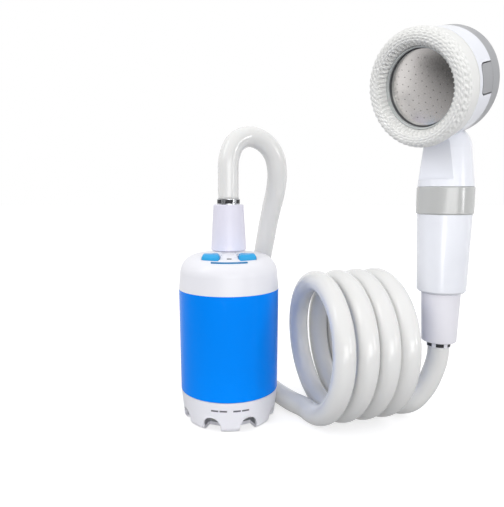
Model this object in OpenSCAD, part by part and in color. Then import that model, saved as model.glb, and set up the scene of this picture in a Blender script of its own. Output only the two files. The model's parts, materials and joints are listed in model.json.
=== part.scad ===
// Camp shower pump: a battery pump that stands in a bucket, a coiled hose and a hand shower.
// Millimetres. The floor is z = 0, the pump axis is the z axis, the pump's front looks along -y.

/* [Pump body] */
// diameter of the barrel at its upper joint
body_d = 73; // [68:0.5:80]
// height of the barrel between base and cap
body_h = 74; // [72:1:90]
// height of the inlet base
base_h = 23; // [22:0.5:28]
// height of the cap
cap_h = 25; // [24.5:0.5:30]
// wall of barrel and cap
wall = 2.4; // [1.8:0.1:2.8]
// draft of the barrel, on the radius
body_draft = 0.6; // [0.2:0.1:1]
// radius of the cap's shoulder
shoulder_r = 14; // [12:0.5:15]
// turn of the pump's front from straight ahead
pump_turn = 3.3; // [0:0.1:8]

/* [Inlet base] */
// number of arched openings round the foot
notch_count = 8; // [4:1:8]
// width of one opening
notch_w = 13; // [9:0.5:15]
// height of one opening
notch_h = 11; // [7.5:0.5:12]
// turn that frees the base
twist_deg = 20; // [10:1:25]

/* [Keys] */
// width of one key
key_w = 12.4; // [10:0.2:13]
// depth of one key
key_l = 15; // [13:0.5:15]
// distance of a key's centre from the middle
key_x = 12.6; // [12.4:0.2:14]
// how far the keys stand above the cap
key_rise = 2; // [1.6:0.1:3]
// travel of a key
key_travel = 1.2; // [0.6:0.1:1.3]

/* [Hose and nuts] */
// outer diameter of the hose
hose_d = 15; // [13:0.5:15]
// loops of the standing coil
coil_turns = 4; // [3:1:4]
// radius of the coil to the middle of the hose
coil_r = 47.5; // [42:0.5:50]
// free gap between two loops that lie together
coil_gap = 0.3; // [0.3:0.1:2]
// extra gap after the first loop
coil_open = 2.4; // [0:0.2:3]
// length of the pump's nut
pump_nut_h = 33; // [30:1:40]
// length of the handset's nut
hand_nut_h = 36; // [34:1:44]
// height of the ferrule's ring
ferrule_h = 3.6; // [3:0.2:5]

/* [Handset] */
// length of the tapered handle
handle_h = 55; // [45:1:70]
// diameter of the handle at the band
handle_d = 36.8; // [36:0.2:42]
// height of the grey band
band_h = 19; // [14:1:24]
// length of the neck under the head
neck_h = 26; // [22:1:32]
// diameter of the head at its front bead
head_d = 75; // [72:0.2:80]
// depth of the head from back to front
head_l = 43.2; // [41:0.2:47]
// tilt of the face below level
head_tilt = 16; // [12:1:20]
// diameter of the spray plate
plate_d = 48; // [44:0.2:50]
// rise of the plate's dome
plate_dome = 1.6; // [0.8:0.1:2.4]
// diameter of a spray hole
jet_d = 0.7; // [0.5:0.1:1.4]

/* [Clearances] */
// gap between pieces that move on one another
run_gap = 0.3; // [0.2:0.05:0.4]
// radial gap of a shaft in its bore
shaft_gap = 0.05; // [0.02:0.01:0.08]
// gap round a piece that is held fast
seat_gap = 0.1; // [0.05:0.05:0.15]

/* [Hidden] */
$fn = 64;

// levels of the pump
body_r = body_d / 2;
body_r_low = body_r - body_draft;
z_body = base_h;
z_cap = z_body + body_h;
z_top = z_cap + cap_h;
bulk_t = 3;
z_deck = z_body + bulk_t;
plate_t = 2;
bore_r = body_r_low - wall;

// cap shoulder: one arc that meets the flat top
shoulder_c = body_r - 1 - shoulder_r;
shoulder_z = z_top - shoulder_r;
cap_in_r = shoulder_r - wall;
cap_in_z = shoulder_z + cap_in_r;

// base: spigot of the barrel inside, feet below
spigot_r = body_r_low - 4.9;
spigot_t = 2.4;
spigot_h = 7.5;
base_bore = spigot_r + run_gap;
base_top = z_body - run_gap;
foot_round = 4.6;
foot_r = body_r_low - 2;
floor_t = 2.6;
lug_out = 1.5;
lug_h = 2;
lug_z = z_body - 6;
lug_deg = 9;
lug_play = 1;
lug_count = 3;
screen_r = foot_r - foot_round - 8.3;
screen_t = 1.2;

// pump chamber under the bulkhead
volute_r = spigot_r - spigot_t - 0.9;
volute_h = 8.5;
cover_t = 2;
z_volute = z_body - volute_h;
screw_pitch_r = volute_r - 4.5;
screw_r = 1.5;
chamber_r = screw_pitch_r - screw_r - 4.1;
eye_r = 7;
screw_head_r = 2.6;
screw_head_h = 1.6;
screw_deep = 2;
screen_h = z_volute - screw_head_h - floor_t - 0.8;
screen_slots = 24;
shaft_r = 1.5;
impeller_r = chamber_r - 1;
impeller_z = z_volute + cover_t + 0.6;
disc_t = 1.2;
vane_h = 3.2;
vane_count = 6;
seal_r = 5;

// motor, cells and pipes
motor_h = 34;
motor_boss_r = 5;
z_motor = z_deck + plate_t;
shaft_top = z_motor + 10;
cell_r = 9.1;
cell_x = bore_r - cell_r - 1.6;
motor_r = cell_x - cell_r - 1.7;
lid_t = 2;
lid_drop = 4;
z_lid = z_cap - lid_drop;
cell_h = z_lid - z_motor;
pipe_r = 5.6;
pipe_bore = 4.2;
pipe_room = 1.3;

// electronics under the keys
key_y = -(shoulder_c - 0.75);
key_mid = 1.25;
key_round = 4;
key_soft = 2.6;
key_top = z_top + key_rise;
board_t = 1.4;
board_top = z_top - 12;
board_r = shoulder_c + 5.5;
switch_h = 3;
switch_w = 6;
key_low = board_top + switch_h + key_travel + 0.2;
key_h = key_top - key_low;
lip_w = 1.2;
lip_l = 5;
lip_h = 1.2;
post_r = 2.4;
post_at = shoulder_c + 2.5;
trim_r0 = shoulder_c + 7.9;
trim_r1 = trim_r0 + 1.4;
trim_deg = 24;
trim_top = z_top - 2.5;
trim_t = 1.9;
key_arc = trim_r0 - 1;
lens_y = shoulder_c + 4.3;
lens_w = 3.4;
lens_t = 1.4;
lens_round = 0.5;
lens_top = z_top - 0.6;
bridge_w = 2 * (key_x - key_w / 2 - run_gap) - 1.6;
bridge_y = shoulder_c + 2.5;
bridge_soft = 1.6;
edge = 0.6;

// outlet and the pump's nut
boss_r = 12;
boss_h = 2.3;
z_boss = z_top + boss_h;
thread_r = 8.9;
thread_depth = 0.6;
flange_r = 11;
z_fit = cap_in_z - 3.6;
z_elbow = z_fit - 13;
nut_bore = thread_r + run_gap;
z_nut = z_boss + run_gap;
z_nut_top = z_nut + pump_nut_h;
nut_r0 = 12.8;
nut_r1 = 10.9;
sleeve_r = hose_d / 2 + 0.1;
sleeve_h = 11.4;
collar_r = thread_r;
collar_h = 3;
ring_r = hose_d / 2 + 0.7;
neck_r = sleeve_r + run_gap;
z_ring = z_nut_top + run_gap;
z_hose = z_ring + ferrule_h;
z_collar = z_nut_top - sleeve_h + run_gap - collar_h;
washer_t = 2;
thread_top = z_collar - washer_t;
slot_count = 6;
slot_w = 5.4;
pump_slot_turn = 35;
hand_slot_turn = 16.5;
slot_rim = 0.4;

// charge socket at the back
plug_z = z_cap - 18;
plug_r = 6;
plug_t = 2.2;
plug_seat = bore_r + 0.9;
jack_r = 4;
jack_bore = 2.5;
jack_l = 6;
jack_rim = 5.6;
pipe_y = plug_seat - jack_l - pipe_r - pipe_room;
plug_pin_r = jack_bore - run_gap;

// handset: its place, its own axis, and its levels
hand_x = 152.5;
hand_y = -10;
hand_turn = -54;
z_hand = 56;
z_hring = z_hand;
z_hnut = z_hring + ferrule_h + run_gap;
z_hnut_top = z_hnut + hand_nut_h;
hnut_r0 = 12;
hnut_r1 = 13.4;
z_hcollar = z_hnut + sleeve_h;
z_hwash = z_hcollar + collar_h + run_gap;
z_spigot = z_hwash + washer_t;
z_handle = z_hnut_top + run_gap;
handle_r = handle_d / 2;
handle_r0 = handle_r - 1.7;
handle_wall = 2.6;
handle_floor = 4;
z_band = z_handle + handle_h;
band_r = handle_r + 0.85;
band_wall = 4;
band_edge = 0.8;
z_neck = z_band + band_h;
neck_r0 = band_r - 0.4;
neck_r1 = neck_r0 - 2.9;
neck_step = 4.6;
neck_flat = neck_r0 - 6.5;
neck_crown = 28;
tube_r = 6.2;
tube_bore = 4.6;
tube_top = z_neck + neck_h + 3;

// head: own axis, from the back (0) to the front (head_l)
head_r = head_d / 2;
head_fore = -0.7;
head_rise = 46.1;
z_head = z_neck + neck_h + head_rise;
cover_r = head_r - 2.2;
cover_h = 11;
cover_round = 4;
cover_back = 2.4;
cover_rim = 7.2;
house_r0 = cover_r;
house_r1 = head_r - 1.5;
house_end = head_l - 16;
ring_end = house_end + run_gap;
ring_r0 = head_r - 1.3;
mouth_r = house_r1 - 3.8;
mouth_l = 5.4;
cavity_r = cover_r - 3.2;
web_z = cover_h + 3;
web_t = 2;
web_hole = 12;
seal_r0 = cavity_r - 4.4;
seal_r1 = seal_r0 + 2;
seal_t = 1.2;
tab_w = 17.8;
tab_l = 11;
tab_t = 1.8;
tab_r = cover_r - seat_gap;
tab_side = 0.8;
tab_front = 1.8;
tab_out = 3;
tab_under = 3;
tab_floor = 0.4;
tab_deep = house_end - mouth_l - 1;
tab_round = 2.6;
tab_root = 5;
tab_turn = -4;
plate_r = plate_d / 2;
plate_groove = 0.9;
trim_in_r = plate_r + plate_groove;
trim_ring_r = trim_in_r + 1;
ring_bore = trim_ring_r + run_gap;
bead_r = (head_r - ring_bore) / 2;
bead_z = head_l - bead_r;
bead_c = head_r - bead_r;
skirt_t = 2;
base_flange = 2.5;
face_z = head_l - 11;
face_trim_h = 4.2;
plate_thick = 1.2;
jet_rows = 4;
jet_step = plate_r / (jet_rows + 1.1);
dome_r = (plate_r * plate_r + plate_dome * plate_dome) / (2 * plate_dome);

// hose: its route between the ferrules, and the standing coil
hose_r = hose_d / 2;
hose_sides = 12;
coil_x = 58;
coil_y = -11;
coil_turn = 17.3;
coil_pitch = hose_d + coil_gap;
coil_last = coil_turns - 0.25;
open_from = 0.4;
open_span = 1.3;
loop_rings = 24;
coil_rings = round(loop_rings * coil_last);
lane = hose_r;
riser_route = [
    [0, 0, z_hose],
    [0, 0, z_hose + 15],
    [0.6, 0.3, z_hose + 29],
    [5, 3, z_hose + 40],
    [14, 8, z_hose + 45],
    [25, 12.5, z_hose + 42],
    [33, 16, z_hose + 33],
    [36, 19.5, z_hose + 20],
    [35.2, 24.5, z_hose + 7],
    [32.7, 31, z_hose - 6],
    [30.2, 38, z_hose - 19],
    [28, 44, z_hose - 33],
    [25.6, 50, z_hose - 48],
    [22.2, 58, z_hose - 68],
    [19, 66.5, z_hose - 90],
    [16.5, 73.5, z_hose - 112],
    [17, 76, z_hose - 129],
    [19, 71.5, lane + 10.5],
    [23.5, 58, lane + 1.8],
    [29.5, 40, lane],
    [37.5, 21, lane],
    [47, 4.5, lane],
    coil_at(0)
];
tail_route = [
    coil_at(coil_last),
    coil_at(coil_last) + [2.2, -2.4, -19],
    coil_at(coil_last) + [7.2, -11.5, -36],
    [hand_x - 38.5, 26, lane + 3],
    [hand_x - 32, 11, lane],
    [hand_x - 25.5, -1.5, lane + 0.6],
    [hand_x - 18, -7.5, lane + 4.8],
    [hand_x - 9.2, -9.5, lane + 15.5],
    [hand_x - 3.2, hand_y, lane + 29],
    [hand_x - 0.4, hand_y, lane + 40],
    [hand_x, hand_y, z_hand]
];

// how far the coil has gone along its axis after u loops, and how fast it goes there
function opened(u) = max(0, min(1, (u - open_from) / open_span));
function coil_drift(u) =
    let (t = opened(u))
    coil_pitch * u + coil_open * t * t * (3 - 2 * t);
function coil_rate(u) =
    let (t = opened(u))
    coil_pitch + coil_open / open_span * 6 * t * (1 - t);

// middle of the hose in the coil, after u loops from the lowest point of the first
function coil_at(u) =
    let (t = 360 * u, a = coil_turn)
    [coil_x, coil_y, coil_r + hose_r]
    + coil_drift(u) * [cos(a), sin(a), 0]
    + coil_r * [sin(a) * sin(t), -cos(a) * sin(t), -cos(t)];

function unit(v) = v / norm(v);

// smooth course through the points of a route: k steps from each point to the next
function slope(p, i) =
    i == 0 || i == len(p) - 1 ? undef :
    let (a = norm(p[i] - p[i - 1]), b = norm(p[i + 1] - p[i]))
    ((p[i] - p[i - 1]) / a * b + (p[i + 1] - p[i]) / b * a) / (a + b);
function course(p, d0, d1, k) = [
    for (i = [0 : len(p) - 2])
        let (
            l = norm(p[i + 1] - p[i]),
            m0 = (i == 0 ? d0 : slope(p, i)) * l,
            m1 = (i == len(p) - 2 ? d1 : slope(p, i + 1)) * l
        )
        for (j = [0 : k - 1])
            let (t = j / k, s = t * t, c = s * t)
            (2 * c - 3 * s + 1) * p[i] + (c - 2 * s + t) * m0
            + (3 * s - 2 * c) * p[i + 1] + (c - s) * m1,
    p[len(p) - 1]
];

// direction of the hose at each point of its course
function heading(p, d0, d1) = [
    for (i = [0 : len(p) - 1])
        i == 0 ? unit(d0) : i == len(p) - 1 ? unit(d1) : unit(p[i + 1] - p[i - 1])
];

// side vectors that follow the hose without twisting it
function carried(h, v, i, out) =
    i == len(h) ? out :
    let (w = unit(v - (v * h[i]) * h[i]))
    carried(h, w, i + 1, concat(out, [w]));

module tube(p, h, side) {
    s = carried(h, side, 0, []);
    n = hose_sides;
    m = len(p);
    points = [
        for (i = [0 : m - 1])
            let (b = cross(h[i], s[i]))
            for (j = [0 : n - 1])
                let (a = 360 * j / n)
                p[i] + hose_r * (cos(a) * s[i] + sin(a) * b)
    ];
    faces = concat(
        [[for (j = [0 : n - 1]) n - 1 - j]],
        [[for (j = [0 : n - 1]) (m - 1) * n + j]],
        [
            for (i = [0 : m - 2])
                for (j = [0 : n - 1])
                    let (k = (j + 1) % n)
                    [i * n + j, i * n + k, (i + 1) * n + k]
        ],
        [
            for (i = [0 : m - 2])
                for (j = [0 : n - 1])
                    let (k = (j + 1) % n)
                    [i * n + j, (i + 1) * n + k, (i + 1) * n + j]
        ]
    );
    polyhedron(points = points, faces = [for (f = faces) [for (q = [len(f) - 1 : -1 : 0]) f[q]]]);
}

function coil_heading(u) =
    let (t = 360 * u, a = coil_turn)
    unit(
        coil_rate(u) / (2 * PI) * [cos(a), sin(a), 0]
        + coil_r * [sin(a) * cos(t), -cos(a) * cos(t), sin(t)]
    );

// least distance between two loops of the coil, less the hose
coil_points = [for (i = [0 : coil_rings]) coil_at(coil_last * i / coil_rings)];
coil_least = min([
    for (i = [0 : coil_rings])
        for (j = [i + loop_rings / 2 : 1 : coil_rings])
            norm(coil_points[i] - coil_points[j])
]) - hose_d;
echo(coil_gap_to_itself = coil_least);

riser_course = course(riser_route, [0, 0, 1], coil_heading(0), 3);
tail_course = course(tail_route, coil_heading(coil_last), [0, 0, 1], 3);

module in_pump() {
    rotate([0, 0, pump_turn]) children();
}

module in_handset() {
    translate([hand_x, hand_y, 0]) rotate([0, 0, hand_turn]) children();
}

module in_head() {
    in_handset() translate([0, 0, z_head]) rotate([90 + head_tilt, 0, 0])
        translate([0, 0, head_fore]) children();
}

module ring(z, h, r_out, r_in) {
    translate([0, 0, z]) difference() {
        cylinder(h = h, r = r_out);
        translate([0, 0, -1]) cylinder(h = h + 2, r = r_in);
    }
}

// cone with its lower and upper edge broken
module edged(z, h, r_low, r_high, e_low, e_high) {
    rotate_extrude() polygon([
        [0, z],
        [r_low - e_low, z],
        [r_low, z + e_low],
        [r_high, z + h - e_high],
        [r_high - e_high, z + h],
        [0, z + h]
    ]);
}

// upright block with round corners
module pad(w, l, h, r) {
    linear_extrude(height = h) {
        square([w - 2 * r, l], center = true);
        square([w, l - 2 * r], center = true);
        for (x = [-1, 1], y = [-1, 1])
            translate([x * (w / 2 - r), y * (l / 2 - r)]) circle(r = r);
    }
}

// profile of the cap, grown inward by t
module cap_profile(t) {
    difference() {
        union() {
            polygon([
                [0, z_cap],
                [body_r - t, z_cap],
                [shoulder_c + shoulder_r - t, shoulder_z],
                [shoulder_c, shoulder_z],
                [shoulder_c, z_top - t],
                [0, z_top - t]
            ]);
            translate([shoulder_c, shoulder_z]) circle(r = shoulder_r - t);
        }
        translate([-2 * body_r, 0]) square([2 * body_r, 2 * z_top]);
        translate([0, z_cap - 2 * shoulder_r]) square([2 * body_r, 2 * shoulder_r]);
    }
}

// one bar bent round the spigot for each lug
module lug_bars(from_deg, span, low, high, out) {
    for (i = [0 : lug_count - 1])
        rotate([0, 0, 360 / lug_count * i + from_deg])
            rotate_extrude(angle = span)
                translate([spigot_r - 0.6, low]) square([0.6 + out, high - low]);
}

module body_shell() {
    color("#0a84f0") in_pump() difference() {
        union() {
            translate([0, 0, z_body]) cylinder(h = body_h, r1 = body_r_low, r2 = body_r);
            ring(z_body - spigot_h, spigot_h + 1, spigot_r, spigot_r - spigot_t);
            lug_bars(-lug_deg / 2, lug_deg, lug_z, lug_z + lug_h, lug_out);
        }
        translate([0, 0, z_deck]) cylinder(h = body_h, r = bore_r);
        translate([0, 0, z_body - 1]) cylinder(h = bulk_t + 2, r = seal_r);
        translate([0, pipe_y, z_body - 1]) cylinder(h = bulk_t + 2, r = pipe_r + seat_gap);
        screw_holes(z_body - 1, screw_deep + 1, screw_r);
        ring(z_cap - 1.2, 2, body_r - 0.6, bore_r + 0.9);
        translate([0, plug_seat, plug_z]) rotate([-90, 0, 0]) cylinder(h = 9, r = plug_r + run_gap);
        translate([0, 0, plug_z]) rotate([-90, 0, 0]) cylinder(h = body_r + 5, r = jack_r);
    }
}

module screw_holes(z, h, r) {
    for (a = [30, 150, 210, 330])
        rotate([0, 0, a]) translate([screw_pitch_r, 0, z]) cylinder(h = h, r = r);
}

module top_seal() {
    color("#2a2a2c") ring(z_cap - 1.2, 1.2, body_r - 0.6, bore_r + 0.9);
}

module top_cap() {
    color("#efeef3") in_pump() difference() {
        union() {
            difference() {
                rotate_extrude() cap_profile(0);
                rotate_extrude() cap_profile(wall);
            }
            ring(z_cap - 4, 5, bore_r - seat_gap, bore_r - seat_gap - 2);
            ring(z_cap, 2, body_r - wall + 0.6, bore_r - seat_gap - 2);
            edged(cap_in_z, z_boss - cap_in_z, boss_r, boss_r, 0, edge);
            intersection() {
                translate([0, -2, cap_in_z]) rotate([90, 0, 0])
                    pad(bridge_w, 2 * (z_boss - seat_gap - cap_in_z), bridge_y - 2, bridge_soft);
                translate([0, 0, cap_in_z]) cylinder(h = cap_h, r = body_r);
            }
            for (a = [0, 90, 180])
                rotate([0, 0, a]) translate([post_at, 0, board_top])
                    cylinder(h = z_top - wall / 2 - 0.4 - board_top, r = post_r);
        }
        translate([0, 0, cap_in_z - 1]) cylinder(h = boss_h + wall + 2, r = thread_r + seat_gap);
        intersection() {
            for (x = [-1, 1])
                translate([x * key_x, key_y, key_low - 1])
                    pad(key_w + 2 * run_gap, key_l + 2 * run_gap, 20, key_round + run_gap);
            translate([0, 0, key_low - 1]) cylinder(h = 20, r = key_arc + run_gap);
        }
        trim_bar();
        translate([0, -lens_y, board_top])
            pad(lens_w + 2 * seat_gap, lens_t + 2 * seat_gap, 20, lens_round + seat_gap);
    }
}

module trim_bar() {
    rotate([0, 0, -90 - trim_deg]) rotate_extrude(angle = 2 * trim_deg)
        translate([trim_r0, trim_top - trim_t]) square([trim_r1 - trim_r0, trim_t]);
}

module button_trim() {
    color("#1288ee") in_pump() trim_bar();
}

module indicator_lens() {
    color("#3a3f48") in_pump() translate([0, -lens_y, board_top])
        pad(lens_w, lens_t, lens_top - board_top, lens_round);
}

// round block whose rim follows the cap, with a soft upper edge
module key_rim() {
    rotate_extrude() {
        translate([0, key_low]) square([key_arc, key_h - key_soft]);
        translate([0, key_low]) square([key_arc - key_soft, key_h]);
        translate([key_arc - key_soft, key_top - key_soft]) circle(r = key_soft);
    }
}

module key(x) {
    intersection() {
        translate([x, key_y, 0]) intersection() {
            translate([0, 0, key_low]) pad(key_w, key_l, key_h, key_round);
            translate([0, key_l / 2 + 1, key_low]) rotate([90, 0, 0])
                pad(key_w, 2 * key_h, key_l + 2, key_soft);
            translate([-key_w / 2 - 1, 0, key_low]) rotate([90, 0, 90])
                pad(key_l, 2 * key_h, key_w + 2, key_soft);
        }
        key_rim();
    }
    translate([x - key_w / 2 - lip_w, key_y + key_mid - lip_l / 2, key_low])
        cube([key_w + 2 * lip_w, lip_l, lip_h]);
}

module power_button() {
    color("#35b0f5") in_pump() key(-key_x);
}

module mode_button() {
    color("#35b0f5") in_pump() key(key_x);
}

module control_board() {
    color("#1f6b45") in_pump() difference() {
        translate([0, 0, board_top - board_t]) cylinder(h = board_t, r = board_r);
        translate([0, 0, board_top - board_t - 1]) cylinder(h = board_t + 2, r = pipe_r + 0.6);
    }
}

module tact_switches() {
    color("#26262a") in_pump() for (x = [-1, 1]) translate([x * key_x, key_y + key_mid, board_top]) {
        translate([-switch_w / 2, -switch_w / 2, 0]) cube([switch_w, switch_w, switch_h - 0.8]);
        cylinder(h = switch_h, r = 1.75);
    }
}

module outlet_fitting() {
    color("#e8e7ee") difference() {
        union() {
            translate([0, 0, z_fit]) cylinder(h = cap_in_z - z_fit, r = flange_r);
            translate([0, 0, z_fit]) cylinder(h = thread_top - z_fit, r = thread_r - thread_depth);
            translate([0, 0, cap_in_z - 1]) cylinder(h = z_boss - cap_in_z + 1, r = thread_r);
            for (i = [0 : 3])
                translate([0, 0, z_boss + 2.4 + 3 * i]) cylinder(h = 1.5, r = thread_r);
        }
        translate([0, 0, z_fit - 1]) cylinder(h = thread_top - z_fit + 2, r = pipe_bore);
    }
}

module pipe_run(r, more) {
    translate([0, pipe_y, z_body - more]) cylinder(h = z_elbow - z_body + more, r = r);
    translate([0, pipe_y, z_elbow]) sphere(r = r);
    translate([0, pipe_y, z_elbow]) rotate([90, 0, 0]) cylinder(h = pipe_y, r = r);
    translate([0, 0, z_elbow]) sphere(r = r);
    translate([0, 0, z_elbow]) cylinder(h = z_fit - z_elbow + more, r = r);
}

module riser_pipe() {
    color("#c9ccd2") in_pump() difference() {
        pipe_run(pipe_r, 0);
        pipe_run(pipe_bore, 1);
    }
}

module chassis_plate() {
    color("#4a4d55") in_pump() difference() {
        translate([0, 0, z_deck]) cylinder(h = plate_t, r = bore_r - seat_gap);
        translate([0, 0, z_deck - 1]) cylinder(h = plate_t + 2, r = motor_boss_r + seat_gap);
        translate([0, pipe_y, z_deck - 1]) cylinder(h = plate_t + 2, r = pipe_r + seat_gap);
    }
}

module chassis_lid() {
    color("#4a4d55") in_pump() difference() {
        union() {
            translate([0, 0, z_lid]) cylinder(h = lid_t, r = bore_r - 2.6);
            for (x = [-1, 1]) translate([x * cell_x, 0, z_lid - 5]) cylinder(h = 5, r = cell_r + 1.3);
        }
        for (x = [-1, 1]) translate([x * cell_x, 0, z_lid - 6]) cylinder(h = 6, r = cell_r);
        translate([0, pipe_y, z_lid - 6]) cylinder(h = 20, r = pipe_r + seat_gap);
    }
}

module cell(x) {
    translate([x, 0, z_motor]) {
        cylinder(h = cell_h - 1.2, r = cell_r - 0.05);
        cylinder(h = cell_h, r = 3);
    }
}

module cell_left() {
    color("#d9a13a") in_pump() cell(-cell_x);
}

module cell_right() {
    color("#d9a13a") in_pump() cell(cell_x);
}

module motor_can() {
    color("#9a9da3") difference() {
        union() {
            translate([0, 0, z_motor]) cylinder(h = motor_h, r = motor_r);
            translate([0, 0, z_deck]) cylinder(h = plate_t + 1, r = motor_boss_r);
            translate([0, 0, z_motor + motor_h - 1]) cylinder(h = 3, r = 4);
        }
        translate([0, 0, z_deck - 1]) cylinder(h = shaft_top - z_deck + 1.5, r = shaft_r + shaft_gap);
    }
}

module shaft_seal() {
    color("#232325") ring(z_body, bulk_t, seal_r, shaft_r + shaft_gap);
}

module motor_shaft() {
    color("#b9bcc2") translate([0, 0, impeller_z]) cylinder(h = shaft_top - impeller_z, r = shaft_r);
}

module impeller() {
    color("#34363c") in_pump() difference() {
        union() {
            translate([0, 0, impeller_z]) cylinder(h = disc_t, r = impeller_r);
            translate([0, 0, impeller_z]) cylinder(h = disc_t + vane_h, r = 4);
            for (i = [0 : vane_count - 1])
                rotate([0, 0, 360 / vane_count * i]) translate([2, -0.6, impeller_z])
                    cube([impeller_r - 2.6, 1.2, disc_t + vane_h - 0.4]);
        }
        translate([0, 0, impeller_z - 1]) cylinder(h = disc_t + vane_h + 2, r = shaft_r);
    }
}

module volute_housing() {
    color("#4a4d55") in_pump() difference() {
        translate([0, 0, z_volute + cover_t]) cylinder(h = volute_h - cover_t, r = volute_r);
        translate([0, 0, z_volute]) cylinder(h = volute_h + 1, r = chamber_r);
        translate([0, pipe_y - 2, z_volute + cover_t + 1.5]) cylinder(h = volute_h, r = pipe_bore);
        screw_holes(z_volute, volute_h + 1, screw_r);
    }
}

module volute_cover() {
    color("#3c3f47") in_pump() difference() {
        translate([0, 0, z_volute]) cylinder(h = cover_t, r = volute_r);
        translate([0, 0, z_volute - 1]) cylinder(h = cover_t + 2, r = eye_r);
        screw_holes(z_volute - 1, cover_t + 2, screw_r);
    }
}

module volute_screws() {
    color("#c4c7cc") in_pump() {
        screw_holes(z_volute, z_body + screw_deep - z_volute, screw_r);
        screw_holes(z_volute - screw_head_h, screw_head_h, screw_head_r);
    }
}

module base_profile() {
    polygon([
        [0, 0],
        [foot_r - foot_round, 0],
        [foot_r - foot_round, foot_round],
        [foot_r, foot_round],
        [body_r_low, base_top],
        [0, base_top]
    ]);
    translate([foot_r - foot_round, foot_round]) intersection() {
        circle(r = foot_round);
        translate([0, -foot_round]) square(foot_round);
    }
}

module arch() {
    rotate([90, 0, 0]) linear_extrude(height = 2 * body_r) {
        translate([0, notch_h - notch_w / 2]) circle(r = notch_w / 2);
        translate([-notch_w / 2, -1]) square([notch_w, notch_h - notch_w / 2 + 1]);
    }
}

module strainer_base() {
    color("#f1f1f2") in_pump() difference() {
        rotate_extrude() base_profile();
        translate([0, 0, floor_t]) cylinder(h = base_h, r = base_bore);
        lug_bars(
            -twist_deg - lug_deg / 2 - lug_play, twist_deg + lug_deg + 2 * lug_play,
            lug_z - run_gap, lug_z + lug_h + run_gap, lug_out + run_gap
        );
        lug_bars(
            -twist_deg - lug_deg / 2 - lug_play + 0.2, lug_deg + 2 * lug_play - 0.4,
            lug_z, base_h + 1, lug_out + 0.6 * run_gap
        );
        for (i = [0 : notch_count - 1])
            rotate([0, 0, 360 / notch_count * (i + 0.5)])
                translate([0, -screen_r - 1.5, 0]) arch();
    }
}

module strainer_screen() {
    color("#8d9096") in_pump() difference() {
        ring(floor_t, screen_h, screen_r, screen_r - screen_t);
        for (i = [0 : screen_slots - 1])
            rotate([0, 0, 360 / screen_slots * i])
                translate([screen_r - screen_t - 1, -0.9, floor_t + 1.4])
                    cube([screen_t + 2, 1.8, screen_h - 2.8]);
    }
}

module charge_socket() {
    color("#1d1d20") in_pump() translate([0, 0, plug_z]) rotate([-90, 0, 0]) difference() {
        union() {
            translate([0, 0, plug_seat - jack_l]) cylinder(h = jack_l, r = jack_r);
            translate([0, 0, plug_seat - jack_l]) cylinder(h = jack_l - 1.8, r = jack_rim);
        }
        translate([0, 0, plug_seat - jack_l + 1]) cylinder(h = jack_l, r = jack_bore);
    }
}

module charge_plug() {
    color("#2b2d31") in_pump() translate([0, 0, plug_z]) rotate([-90, 0, 0]) {
        translate([0, 0, plug_seat + 0.1]) cylinder(h = plug_t, r = plug_r);
        translate([0, 0, plug_seat - jack_l + 1.4]) cylinder(h = jack_l, r = plug_pin_r);
    }
}

module ferrule(z_low, up, turn) {
    ring_z = up ? z_low + collar_h + sleeve_h : z_low;
    difference() {
        union() {
            translate([0, 0, up ? z_low : z_low + ferrule_h])
                cylinder(h = collar_h + sleeve_h, r = sleeve_r);
            translate([0, 0, up ? z_low : z_hcollar]) cylinder(h = collar_h, r = collar_r);
            translate([0, 0, ring_z]) cylinder(h = ferrule_h, r = ring_r);
        }
        translate([0, 0, z_low - 1]) cylinder(h = 60, r = pipe_bore);
        for (i = [0 : slot_count - 1])
            rotate([0, 0, 360 / slot_count * i + turn])
                translate([hose_r - 0.2, -slot_w / 2, ring_z + slot_rim])
                    cube([4, slot_w, ferrule_h - 2 * slot_rim]);
    }
}

module pump_ferrule() {
    color("#5a5d63") ferrule(z_collar, true, pump_slot_turn);
}

module handset_ferrule() {
    color("#5a5d63") translate([hand_x, hand_y, 0]) ferrule(z_hring, false, hand_slot_turn);
}

module pump_washer() {
    color("#2a2a2c") ring(thread_top, washer_t, thread_r - 0.4, pipe_bore);
}

module pump_nut() {
    color("#e6e4f2") difference() {
        edged(z_nut, pump_nut_h, nut_r0, nut_r1, edge, edge);
        translate([0, 0, z_nut - 1]) cylinder(h = z_collar + collar_h + run_gap - z_nut + 1, r = nut_bore);
        translate([0, 0, z_nut]) cylinder(h = pump_nut_h + 1, r = neck_r);
    }
}

module handset_nut() {
    color("#e6e9f4") in_handset() difference() {
        edged(z_hnut, hand_nut_h, hnut_r0, hnut_r1, edge, edge);
        translate([0, 0, z_hnut - 1]) cylinder(h = hand_nut_h, r = neck_r);
        translate([0, 0, z_hcollar - run_gap]) cylinder(h = hand_nut_h, r = nut_bore);
    }
}

module handset_washer() {
    color("#2a2a2c") in_handset() ring(z_hwash, washer_t, thread_r - 0.4, pipe_bore);
}

module hose_riser() {
    color("#e4e4e2")
        tube(riser_course, heading(riser_course, [0, 0, 1], coil_heading(0)), [1, 0, 0]);
}

module hose_coil() {
    color("#e4e4e2") tube(
        coil_points,
        [for (i = [0 : coil_rings]) coil_heading(coil_last * i / coil_rings)],
        [0, 0, 1]
    );
}

module hose_tail() {
    color("#e4e4e2")
        tube(tail_course, heading(tail_course, coil_heading(coil_last), [0, 0, 1]), [1, 0, 0]);
}

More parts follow.
